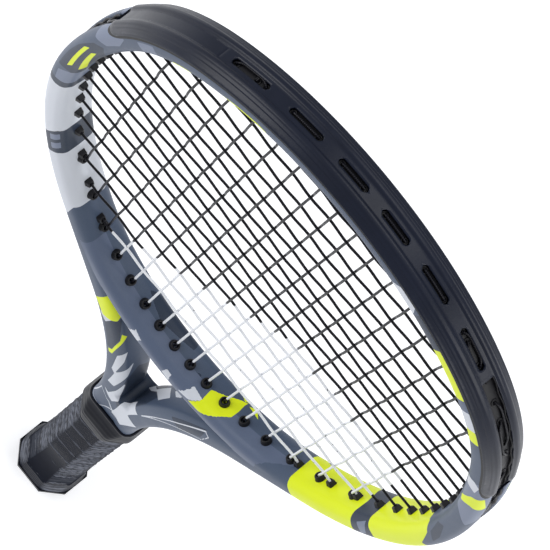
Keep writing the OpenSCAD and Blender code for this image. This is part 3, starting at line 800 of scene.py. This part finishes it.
def sleeve(build, hole):
    """The part of the barrel inside the tube, with the collar where it meets its strip."""
    out = hole.run(STRIP_TOP)
    profile = [(0.9, 1.85), (out - 0.9, 1.85), (out - 0.2, 1.9), (out + 0.35, 1.75), (out + 0.5, 1.45),
               (out + 0.4, 1.1), (out - 0.5, 0.9), (0.9, 0.9)]
    build.rings(rings_around(hole, profile), closed=True)


def strip_base(build, line):
    """A flat ribbon in the channel with a scalloped rib along each edge."""
    edge = [(STRIP_TOP, STRIP_HALF - 0.2), (STRIP_TOP - 0.15, STRIP_HALF), (STRIP_X, STRIP_HALF)]
    ribbon = np.array([(out, -y) for out, y in edge[::-1]] + edge)
    build.rings(swept(line, lambda s: ribbon))
    scallop = 13.0
    for side in (-1, 1):
        def rib(s, side=side):
            wave = 0.5 + 0.5 * math.cos(2 * math.pi * s / scallop)
            y0, y1 = 2.75 + 0.25 * wave, 3.65
            top = STRIP_TOP + 0.9 + 0.8 * wave
            points = [(STRIP_TOP - 0.2, y0), (top - 0.15, y0), (top, y0 + 0.2), (top, y1 - 0.15),
                      (top - 0.15, y1), (STRIP_TOP - 0.2, y1)]
            return np.array(points) * [1, side]
        build.rings(swept(line, rib))


def grommet_strip(name, line, holes):
    """One moulding: a strip with a barrel for each of its holes."""
    build = Build()
    strip_base(build, line)
    for hole in holes:
        barrel(build, hole, cup=hole in BOTTOMS[hole.side])
        sleeve(build, hole)
    return build.object(name)


def grommet_strips():
    every = [h for group in (TOPS, BOTTOMS, CROSSES) for s in (-1, 1) for h in group[s]]
    line = hoop_line(1.2).mirrored()
    end = ELBOW_S + ELBOW_R * math.radians(6)
    bridge_end = BRIDGE_R * 0.345
    gap = 0.3
    strips = {
        "head_grommets": (line.upto(-STRIP_JOINT_S, STRIP_JOINT_S),
                          [h for h in every if h.a < STRIP_JOINT]),
        "throat_grommets": (bridge_line(1.2).mirrored().upto(-bridge_end, bridge_end),
                            [h for h in every if h.in_bridge]),
        "right_grommets": (line.upto(STRIP_JOINT_S + gap, end),
                           [h for h in every if h.side == 1 and h.on_side]),
        "left_grommets": (line.upto(-end, -STRIP_JOINT_S - gap),
                          [h for h in every if h.side == -1 and h.on_side]),
    }
    for name, (stretch, holes) in strips.items():
        node = name.replace("grommets", "grommet_strip")
        obj = grommet_strip(name, stretch, holes)
        finish_piece(obj, "grommet_nylon", MATERIALS["grommet"], node)


# ---- strings


def lace_side(k):
    """The side and the place from the middle of main string k, counted from the left."""
    return (-1, len(MAIN_X) - 1 - k) if k < len(MAIN_X) else (1, k - len(MAIN_X))


def crosses_at(side, i, z):
    """Whether main string i has a clear crossing at height z."""
    margin = BARREL_PROUD + 1.2
    return BOTTOMS[side][i].at(-margin)[2] < z < TOPS[side][i].at(-margin)[2]


def over(k, j):
    """1 where main string k passes behind cross string j, else -1."""
    return 1 if (k + j) % 2 == 0 else -1


def main_run(k):
    """A main string from its lower hole to its upper one."""
    side, i = lace_side(k)
    low, high = BOTTOMS[side][i], TOPS[side][i]
    run = [np.array([side * MAIN_X[i], MAIN_WEAVE * over(k, j), z])
           for j, z in enumerate(CROSS_Z) if crosses_at(side, i, z)]
    return low.passage() + run + high.passage()[::-1]


def cross_run(j):
    """A cross string from its left hole to its right one."""
    z = CROSS_Z[j]
    run = CROSSES[-1][j].passage()
    for k in range(2 * len(MAIN_X)):
        side, i = lace_side(k)
        if crosses_at(side, i, z):
            run.append(np.array([side * MAIN_X[i], -CROSS_WEAVE * over(k, j), z]))
    return run + CROSSES[1][j].passage()[::-1]


def eased(points, per_gap):
    """Points between points: straight in the plane, rising and falling smoothly in depth."""
    rows = [points[0]]
    for a, b in zip(points, points[1:]):
        for t in np.arange(1, per_gap + 1) / per_gap:
            p = a + (b - a) * t
            p[1] = a[1] + (b[1] - a[1]) * (1 - math.cos(math.pi * t)) / 2
            rows.append(p)
    return rows


def outside_run(a, b, bow, middle):
    """The string's run outside the frame, lifted to follow the hoop and bowed sideways."""
    span = b - a
    away = (a + b) / 2 - np.array([middle[0], 0, middle[1]])
    length = np.linalg.norm(away)
    rise = span @ span / (8 * length)
    rows = []
    for t in np.linspace(0, 1, 11)[1:-1]:
        lift = 4 * t * (1 - t)
        sideways = np.array([0, bow, 0]) * min(1, 2.2 * lift)
        rows.append(a + span * t + sideways + away / length * rise * lift)
    return rows


def string_path(runs, middle_of, bow_of):
    """Every run in turn, each other one backwards, with the outside runs between them."""
    path = []
    for n, run in enumerate(runs):
        run = run if n % 2 == 0 else run[::-1]
        if path:
            a, b = path[-1], run[0]
            path += outside_run(a, b, bow_of(a, b), middle_of(a))
        path += eased(run, 5)
    return np.array(path)


def string_tube(name, path):
    """A round tube along a path, with the distance along it stored for its surface marks."""
    sides = 10
    steps = units(np.diff(path, axis=0))
    heading = units(np.concatenate([steps[:1], steps[:-1] + steps[1:], steps[-1:]]))
    u = units(np.cross(heading, [0, 1, 0]))
    v = np.cross(u, heading)
    t = angles(sides)
    rings = path[:, None] + STRING_R * (np.cos(t)[None, :, None] * u[:, None]
                                        + np.sin(t)[None, :, None] * v[:, None])
    build = Build()
    build.rings(rings)
    obj = build.object(name)
    store(obj, "along", np.repeat(distances(path), sides))
    return obj


def strings():
    """Each length runs back and forth through the face, and outside the frame between runs."""
    mains = string_path([main_run(k) for k in range(2 * len(MAIN_X))],
                        lambda a: TIP_C if a[2] > TIP_C[1] else BRIDGE_C,
                        lambda a, b: BOW if max(abs(a[0]), abs(b[0])) > MAIN_X[4] - 1 else 0)
    rows = [cross_run(j) for j in range(len(CROSS_Z) - 1, -1, -1)]
    side_middle = BRIDGE_C[1] + 60
    crosses = string_path(rows, lambda a: (math.copysign(SHOULDER_C[0], a[0]), side_middle),
                          lambda a, b: -BOW)
    for name, path, node in (("main_string_bed", mains, "main_strings"),
                             ("cross_string_bed", crosses, "cross_strings")):
        finish_piece(string_tube(name, path), "string", MATERIALS["string"], node)


# ---- handle

GRIP_BOTTOM, GRIP_TOP = 3.05, 187.0
FLARE_TOP = 24.0
HANDLE_W, HANDLE_D, BEVEL = 34.0, 31.0, 9.0
BUTT_W, BUTT_D = 40.6, 37.6
GRIP_WALL = 1.8
WRAP_PITCH = 21.5
LAP_STEP, LAP_GROOVE = 0.42, 0.55  # each turn's edge stands proud, beside a groove
RIB_PITCH, RIB_DEPTH = 2.3, 0.24
COLLAR_TOP_W, COLLAR_TOP_D = 34.6, 24.8


def octagon_reach(t, w, d, bevel, softness):
    """Distance from the middle to an octagon's edge in direction t, with eased corners."""
    c, s = np.abs(np.cos(t)), np.abs(np.sin(t))
    corner = (w + d) / 2 - bevel
    terms = (c / (w / 2)) ** softness + (s / (d / 2)) ** softness \
        + ((c + s) / corner) ** softness
    return terms ** (-1 / softness)


def handle_size(z):
    """Width, depth and bevel of the wrapped handle at height z."""
    share = float(np.clip((FLARE_TOP - z) / (FLARE_TOP - GRIP_BOTTOM), 0, 1)) ** 1.25
    w = HANDLE_W + (BUTT_W - HANDLE_W) * share
    d = HANDLE_D + (BUTT_D - HANDLE_D) * share
    return w, d, BEVEL * w / HANDLE_W


def ring_at(z, t, r):
    """A level ring around the handle's axis, at radii r in the directions t."""
    return np.stack([r * np.cos(t), r * np.sin(t), np.full(len(t), z)], axis=1)


def wrapped_grip():
    """A ribbed wrap: each turn of the spiral steps over the edge of the turn below it."""
    sides = 192
    heights = np.arange(GRIP_BOTTOM, GRIP_TOP + 0.01, 0.5)
    t = angles(sides)
    rings, seam_highlights = [], []
    for z in heights:
        w, d, bevel = handle_size(z)
        reach = octagon_reach(t, w, d, bevel, 14 + 16 * smoothstep(z, 8, 34))
        turn = (z / WRAP_PITCH - t / (2 * np.pi)) % 1.0
        from_edge = turn * WRAP_PITCH
        step = LAP_STEP * np.clip(1 - from_edge / 2.4, 0, 1) \
            - LAP_GROOVE * np.exp(-((WRAP_PITCH - from_edge) / 0.75) ** 2)
        slack = smoothstep(z, GRIP_BOTTOM + 6, FLARE_TOP + 8)
        tilted = z + 0.35 * w * np.sin(t)
        ribs = RIB_DEPTH * np.cos(2 * np.pi * tilted / RIB_PITCH) * (0.35 + 0.65 * slack)
        ends = smoothstep(z, GRIP_BOTTOM - 1, GRIP_BOTTOM + 1.2) \
            * smoothstep(-z, -GRIP_TOP - 0.5, -GRIP_TOP + 1.5)
        rings.append(ring_at(z, t, reach + (step + ribs) * ends - 0.35 * (1 - ends)))
        # Each turn's edge is stored for a painted highlight along it.
        seam_highlights.append(np.exp(-((from_edge - 0.9) / 0.6) ** 2) * slack)
    for z in (GRIP_TOP, GRIP_BOTTOM):
        w, d, bevel = handle_size(z)
        rings.append(ring_at(z, t, octagon_reach(t, w - 2 * GRIP_WALL, d - 2 * GRIP_WALL, bevel, 34)))
    build = Build()
    build.rings(rings, closed=True)
    obj = build.object("wrapped_grip")
    store(obj, "seam_highlight", np.concatenate(seam_highlights + [np.zeros(2 * sides)]))
    return obj


def sleeve_on_handle(name, profile, wrinkle):
    """A sleeve from a closed profile of (height, width, depth, bevel, softness), with soft wrinkles."""
    t = angles(160)
    rings = []
    for z, w, d, bevel, softness in profile:
        wrinkled = np.clip((z - 180) / 4, 0, 1) * np.clip((196 - z) / 5, 0, 1)
        wave = wrinkle * np.sin(z * 2.1 + 0.8 * np.sin(2 * t + z * 0.3)) * wrinkled
        rings.append(ring_at(z, t, octagon_reach(t, w, d, bevel, softness) + wave))
    build = Build()
    build.rings(rings, closed=True)
    return build.object(name)


def finishing_tape():
    """A band of tape over the top of the wrap, mostly hidden by the collar."""
    zs = np.linspace(170, GRIP_TOP, 12)
    outer = [(z, HANDLE_W + 0.75, HANDLE_D + 0.75, BEVEL, 30) for z in zs]
    inner = [(z, HANDLE_W + 0.05, HANDLE_D + 0.05, BEVEL, 30) for z in zs[::-1]]
    return sleeve_on_handle("vinyl_tape", outer + inner, 0.0)


def rubber_collar():
    """A band from the handle's octagon in to the shaft, with a small lip at each end."""
    low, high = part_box("grip_collar")
    z0, z1 = low.z / MM, high.z / MM
    w0, d0 = (high.x - low.x) / MM, (high.y - low.y) / MM
    outer, inner = [], []
    for z in np.linspace(z0, z1, 46):
        share = smoothstep(z, z0 + 2, z1)
        lip = 0.2 * math.exp(-((z - z1 + 1.0) / 0.8) ** 2) + 0.2 * math.exp(-((z - z0 - 0.8) / 0.7) ** 2)
        edge = 0.5 * (1 - smoothstep(z, z0 - 0.2, z0 + 0.9)) \
            + 0.5 * smoothstep(z, z1 - 0.5, z1 + 0.2)
        w = w0 + (COLLAR_TOP_W - w0) * share + 2 * (lip - edge)
        d = d0 + (COLLAR_TOP_D - d0) * share + 2 * (lip - edge)
        corners = (9 - 5 * share, 30 - 10 * share)
        walls = 3.2 - 1.6 * share
        outer.append((z, w, d, *corners))
        inner.insert(0, (z, w - walls, d - walls, *corners))
    return sleeve_on_handle("rubber_collar", outer + inner, 0.05)


# ---- materials


class Look:
    """A material, its node tree, and the place on the object that its patterns use."""

    def __init__(self, name):
        self.material = bpy.data.materials.new(name)
        self.material.use_nodes = True
        self.tree = self.material.node_tree
        self.where = self.add("TexCoord").outputs["Object"]

    def feed(self, node, inputs):
        """Links a node's inputs to other nodes, or sets their values."""
        for key, value in inputs.items():
            if isinstance(value, bpy.types.NodeSocket):
                self.tree.links.new(value, node.inputs[key])
            else:
                node.inputs[key].default_value = value

    def shaded(self, inputs):
        """The material, with its shader's inputs set."""
        self.feed(self.tree.nodes["Principled BSDF"], inputs)
        return self.material

    def add(self, kind, inputs=None, **settings):
        node = self.tree.nodes.new("ShaderNode" + kind)
        for key, value in settings.items():
            setattr(node, key, value)
        self.feed(node, inputs or {})
        return node

    def noise(self, scale, detail=3.0, roughness=0.5, where=None):
        return self.add("TexNoise", {"Vector": where or self.where, "Scale": scale, "Detail": detail,
                                     "Roughness": roughness}).outputs["Fac"]

    def cells(self, scale):
        return self.add("TexVoronoi", {"Vector": self.where, "Scale": scale}).outputs["Distance"]

    def stretched(self, *scale):
        """The place on the object, stretched for a pattern of streaks."""
        return self.add("Mapping", {"Vector": self.where, "Scale": scale}).outputs[0]

    def axes(self, vector):
        return self.add("SeparateXYZ", {0: vector}).outputs

    def stored(self, name):
        return self.add("Attribute", attribute_name=name).outputs["Fac"]

    def maths(self, operation, a, b=0.0, c=0.0):
        return self.add("Math", {0: a, 1: b, 2: c}, operation=operation).outputs[0]

    def product(self, a, b):
        return self.maths("MULTIPLY", a, b)

    def spread(self, value, low, high):
        """Maps 0..1 to low..high."""
        return self.add("MapRange", {"Value": value, "To Min": low, "To Max": high}).outputs[0]

    def ramp(self, value, start, end):
        """Maps start..end to 0..1."""
        return self.add("MapRange", {"Value": value, "From Min": start, "From Max": end}).outputs[0]

    def mix(self, share, a, b):
        return self.add("Mix", {0: share, 6: a, 7: b}, data_type="RGBA").outputs[2]

    def bump(self, height, distance):
        return self.add("Bump", {"Height": height, "Distance": distance * MM}).outputs["Normal"]


def rgb(r, g, b):
    """A colour given as 0 to 255 in sRGB, as linear values."""
    def linear(c):
        c /= 255
        return c / 12.92 if c <= 0.04045 else ((c + 0.055) / 1.055) ** 2.4
    return (linear(r), linear(g), linear(b), 1.0)


SLATE = rgb(66, 80, 102)
# The near-black colour is painted shadow along the bumper's wing; the dark colour is the paint's own and
# is also painted shade in the crotch.
PAINT = {"groove": rgb(6, 7, 9), "dark": rgb(37, 50, 70), "pale": rgb(88, 100, 124),
         "light": rgb(116, 126, 148), "white": rgb(210, 214, 222), "lime": rgb(228, 242, 0)}


def paint_material():
    """Slate paint with crisp darker, lighter, white and lime shapes under a clear coat, and painted
    shade: a near-black line along the bumper's wing and a dark crotch between the arms.
    """
    look = Look("frame_paint")
    colour = look.mix(look.noise(22, 4), SLATE, rgb(71, 85, 108))
    for layer in LAYERS:
        within = look.maths("GREATER_THAN", look.stored("paint_" + layer), 0.0)
        colour = look.mix(within, colour, PAINT[layer])
    flake = look.spread(look.noise(2600, 1), 0.0, 0.03)
    return look.shaded({
        "Base Color": look.mix(flake, colour, rgb(255, 255, 255)),
        "Roughness": look.spread(look.noise(90, 6, 0.65), 0.36, 0.50),
        "Specular IOR Level": 0.14,
        "Normal": look.bump(look.noise(700, 2), 0.02),
        "Coat Weight": 0.06,
        "Coat Roughness": 0.18})


def moulded(name, colour, wear_and_highlight, rough_low, rough_high, grain=1800, depth=0.03, shine=0.3):
    """Moulded plastic or rubber: a fine grain, cloudy gloss and slightly paler rubbed patches."""
    look = Look(name)
    return look.shaded({
        "Base Color": look.mix(look.noise(45, 5, 0.6), colour, wear_and_highlight),
        "Roughness": look.spread(look.noise(160), rough_low, rough_high),
        "Normal": look.bump(look.noise(grain, 2), depth),
        "Specular IOR Level": shine})


# The printed field on the strings, in metres: its slanted left edge rises from INK_LEFT to its
# level top. It stops short of the bridge, but beyond INK_CORNER it runs on to the hoop.
INK_LEFT = (-0.060, 0.388)
INK_SLOPE = 1.15
INK_TOP = 0.485
INK_RIGHT = 0.105
INK_CORNER = 0.062
INK_CLEAR = 8.0


def inked(look):
    """1 inside the printed field."""
    x, _, z = look.axes(look.where)
    from_left = look.maths("SUBTRACT", x, INK_LEFT[0])
    slant = look.maths("MULTIPLY_ADD", from_left, INK_SLOPE, INK_LEFT[1])
    below = look.maths("LESS_THAN", z, look.maths("MINIMUM", slant, INK_TOP))
    centre = (0.0, 0.0, BRIDGE_C[1] * MM)
    reach = look.add("VectorMath", {0: look.where, 1: centre}, operation="DISTANCE").outputs["Value"]
    off_bridge = look.maths("LESS_THAN", reach, (BRIDGE_INNER - INK_CLEAR) * MM)
    open_below = look.maths("MAXIMUM", off_bridge, look.maths("GREATER_THAN", x, INK_CORNER))
    across = look.product(below, look.maths("LESS_THAN", x, INK_RIGHT))
    return look.product(across, open_below)


def string_material():
    """Black ribbed monofilament with a painted highlight on each rib's crest, and a worn white stencil
    over the lower middle of the bed.
    """
    look = Look("string")
    rib = look.maths("SINE", look.product(look.stored("along"), 2 * math.pi / 0.9))
    # Each rib's crest is painted lighter: a painted highlight.
    rib_highlit_tone = look.mix(look.spread(rib, 0.0, 0.5), rgb(13, 13, 19), rgb(42, 42, 52))
    unworn = look.maths("GREATER_THAN", look.noise(500), 0.30)
    return look.shaded({
        "Base Color": look.mix(look.product(inked(look), unworn), rib_highlit_tone, rgb(240, 242, 246)),
        "Normal": look.bump(rib, 0.03),
        "Roughness": 0.30,
        "Specular IOR Level": 0.2})


def grip_material():
    """Black polyurethane: matt and finely pebbled, with painted highlights: pale streaks on the bevels
    and a pale line along each turn's edge.
    """
    look = Look("grip_wrap")
    base = look.mix(look.noise(60, 5, 0.6), rgb(15, 18, 28), rgb(28, 32, 45))
    # Bevels facing half sideways get pale streaks: a painted highlight.
    x, y, _ = look.axes(look.add("TexCoord").outputs["Normal"])
    slant = look.product(look.maths("ABSOLUTE", x), look.maths("ABSOLUTE", y))
    streaks = look.ramp(look.noise(1.0, 4, 0.6, look.stretched(60, 60, 620)), 0.42, 0.62)
    wear_and_highlight = look.product(look.product(look.ramp(slant, 0.24, 0.46), streaks), 0.75)
    # The stored value lightens each turn's edge: a painted highlight.
    seam_highlight = look.product(look.stored("seam_highlight"), 0.45)
    return look.shaded({
        "Base Color": look.mix(seam_highlight, look.mix(wear_and_highlight, base, rgb(128, 133, 146)), rgb(120, 125, 138)),
        "Roughness": look.spread(look.noise(240), 0.34, 0.48),
        "Normal": look.bump(look.cells(1500), 0.05),
        "Specular IOR Level": 0.10})


def foam_material():
    """Open-cell foam."""
    look = Look("foam")
    cells = look.cells(900)
    return look.shaded({
        "Base Color": look.mix(cells, rgb(196, 178, 132), rgb(240, 230, 196)),
        "Normal": look.bump(cells, 0.4),
        "Roughness": 0.95})


def steel_material():
    """Drawn steel wire, with fine lengthwise scratches."""
    look = Look("steel")
    lines = look.noise(1.0, where=look.stretched(40, 900, 900))
    return look.shaded({
        "Base Color": look.mix(lines, rgb(150, 152, 158), rgb(205, 206, 210)),
        "Roughness": look.spread(lines, 0.2, 0.42),
        "Normal": look.bump(lines, 0.01),
        "Metallic": 1.0})


MATERIALS = {
    "paint": paint_material(),
    "bumper": moulded("bumper_plastic", rgb(13, 18, 32), rgb(26, 33, 52), 0.28, 0.40, shine=0.3),
    "grommet": moulded("grommet_nylon", rgb(16, 16, 19), rgb(28, 28, 33), 0.38, 0.55),
    "string": string_material(),
    "grip": grip_material(),
    "tape": moulded("vinyl_tape", rgb(14, 16, 24), rgb(26, 29, 39), 0.36, 0.50, 900, 0.015, 0.12),
    "collar": moulded("collar_rubber", rgb(11, 13, 21), rgb(23, 26, 37), 0.34, 0.5, 1200, shine=0.14),
    "butt": moulded("butt_plastic", rgb(12, 15, 22), rgb(25, 28, 38), 0.32, 0.46, shine=0.12),
    "pallet": moulded("pallet_plastic", rgb(66, 67, 72), rgb(88, 88, 94), 0.5, 0.68, 1000, 0.06),
    "foam": foam_material(),
    "steel": steel_material(),
}

CAD_FINISHES = {"main_tie_off_knots": "string", "cross_tie_off_knots": "string", "shaft_foam": "foam",
                "front_pallet": "pallet", "back_pallet": "pallet", "butt_cap": "butt",
                "butt_cap_door": "butt", "butt_staples": "steel", "grip_tack": "steel"}


def finish_piece(obj, slot, material, *nodes):
    """Gives a new piece its material and its body, and hides the CAD nodes that it stands for."""
    obj.data.materials.clear()
    obj.data.materials.append(material)
    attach(obj, "racket")
    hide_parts(*nodes)


def finish_cad_nodes():
    """The CAD parts that stay visible get their materials in place."""
    for node, finish in CAD_FINISHES.items():
        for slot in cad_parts[node].material_slots:
            slot.material = MATERIALS[finish]


# ---- stage

FLOOR_GLOW = 0.45
FLOOR_DROP = 13.0  # room under the butt for the trap door to slide out
FLOOR_HALF = 6000


def make_floor():
    signs = ((-1, -1), (1, -1), (1, 1), (-1, 1))
    corners = [(x * FLOOR_HALF, y * FLOOR_HALF, -FLOOR_DROP) for x, y in signs]
    floor = make_object("floor", corners, [[0, 1, 2, 3]], smooth=False)
    look = Look("pale_floor")
    floor.data.materials.append(look.shaded({
        "Base Color": look.mix(look.noise(3, 2), rgb(244, 244, 245), rgb(248, 248, 249)),
        "Roughness": 0.9,
        "Specular IOR Level": 0.1,
        "Emission Color": rgb(252, 253, 255),
        "Emission Strength": FLOOR_GLOW}))


def make_light(name, place, aim, size, power):
    """A rectangular softbox. Places are in metres."""
    data = bpy.data.lights.new(name, "AREA")
    data.shape = "RECTANGLE"
    data.size, data.size_y = size
    data.energy = power
    lamp = bpy.data.objects.new(name, data)
    lamp.location = place
    lamp.rotation_mode = "QUATERNION"
    lamp.rotation_quaternion = (Vector(aim) - Vector(place)).to_track_quat("-Z", "Y")
    bpy.context.scene.collection.objects.link(lamp)


def make_lights():
    world = bpy.data.worlds.new("studio")
    world.use_nodes = True
    sky = world.node_tree.nodes["Background"]
    sky.inputs["Color"].default_value = (0.94, 0.96, 1.0, 1.0)
    sky.inputs["Strength"].default_value = 0.42
    bpy.context.scene.world = world
    middle = (0, 0, 0.35)
    make_light("left_softbox", (-1.7, -0.7, 1.5), middle, (1.4, 1.2), 20)
    make_light("right_softbox", (1.7, 0.1, 1.3), middle, (1.2, 1.2), 13)
    make_light("top_softbox", (0.2, 0.9, 2.6), middle, (1.6, 1.0), 11)
    bpy.context.scene.view_settings.view_transform = "Standard"


# ---- assembly

make_floor()
make_lights()

hoop = painted_frame()
set_paint(hoop)
finish_piece(hoop, "frame_paint", MATERIALS["paint"], "frame_hairpin", "throat_bridge")
finish_piece(moulded_bumper(), "bumper_plastic", MATERIALS["bumper"], "bumper_guard")
grommet_strips()
strings()
finish_piece(wrapped_grip(), "grip_wrap", MATERIALS["grip"], "grip")
finish_piece(finishing_tape(), "tape", MATERIALS["tape"], "finishing_tape")
finish_piece(rubber_collar(), "collar_rubber", MATERIALS["collar"], "grip_collar")
finish_cad_nodes()
